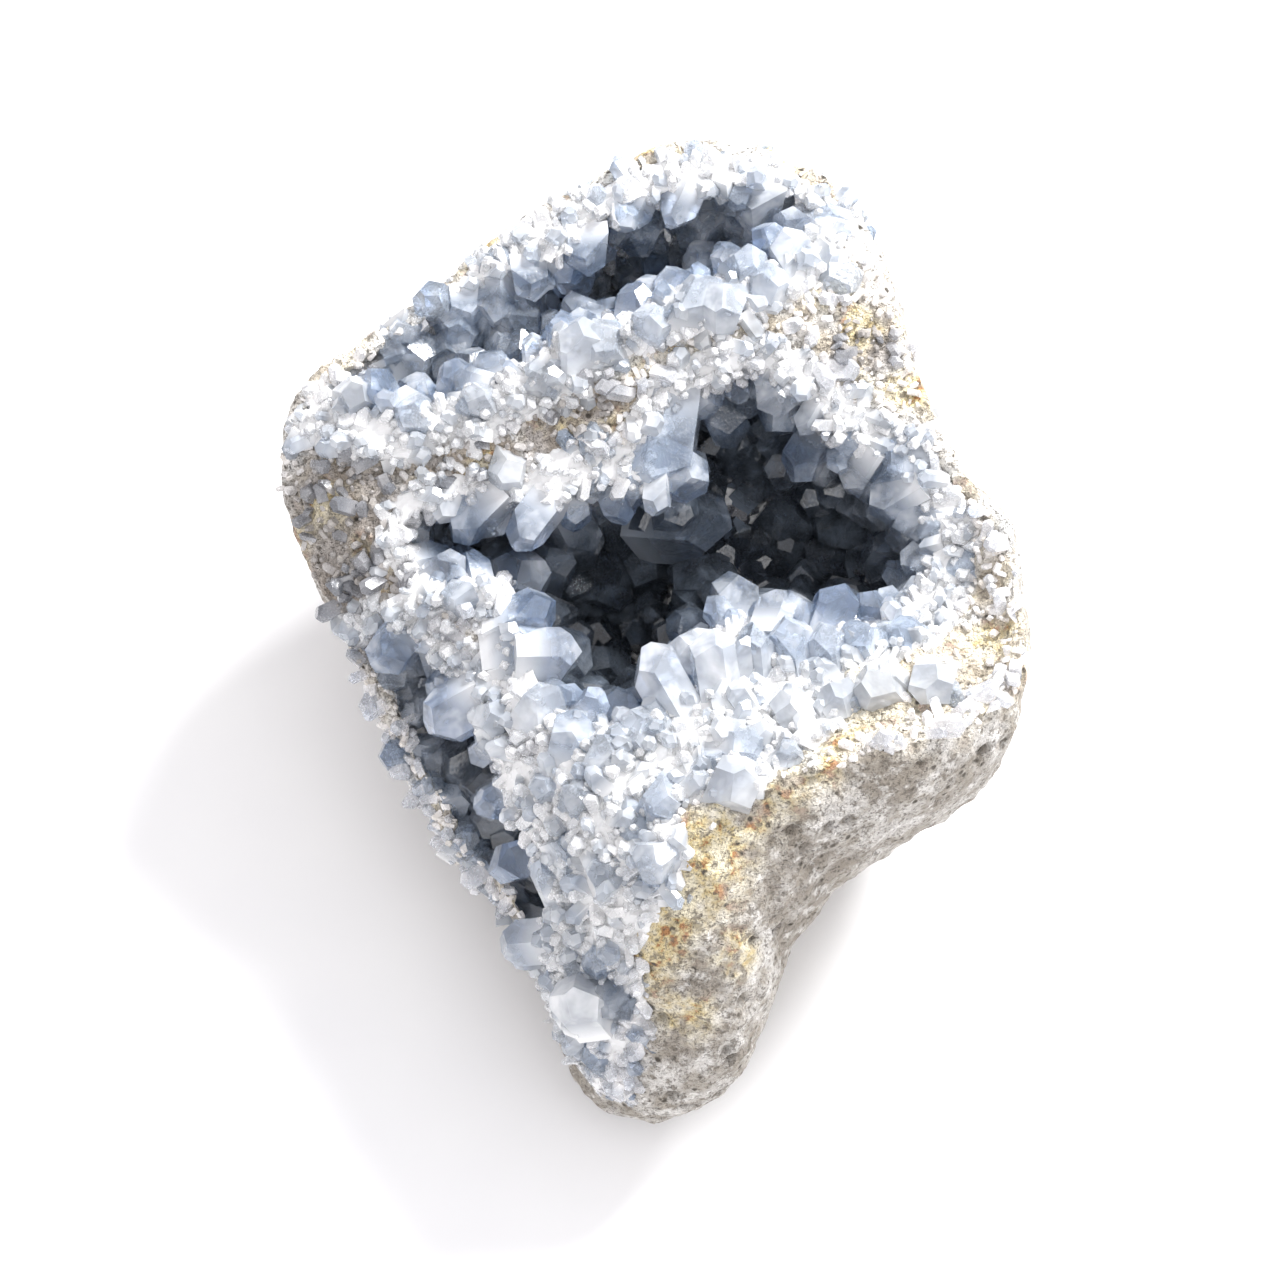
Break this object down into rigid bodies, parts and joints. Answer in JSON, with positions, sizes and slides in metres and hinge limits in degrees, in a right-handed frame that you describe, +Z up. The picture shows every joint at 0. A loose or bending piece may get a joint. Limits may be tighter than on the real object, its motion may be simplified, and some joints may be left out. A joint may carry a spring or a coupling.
{
  "type": "celestite geode",
  "caption": "Celestite geode: a pale stone nodule broken open across its face, with pale blue pointed crystals lining its two hollows and a side cleft. It rests on its back.",
  "frame": {"origin": "on the resting plane, under the middle of the geode's outline seen from above", "axes": "+Z up, with the broken face up; +Y from the narrow lobe at the lower end of the face towards its broad upper end; +X to the right of the face"},
  "size_m": [0.1242, 0.1608, 0.0964],
  "materials": {
    "limestone": "granular grey-white rind with pits, dark specks and cream and rust stains",
    "celestite": "translucent pale blue crystal, milky white towards its root"
  },
  "bodies": {
    "root": {"rind": "limestone", "main_crust": "celestite", "upper_crust": "celestite"}
  },
  "joints": []
}
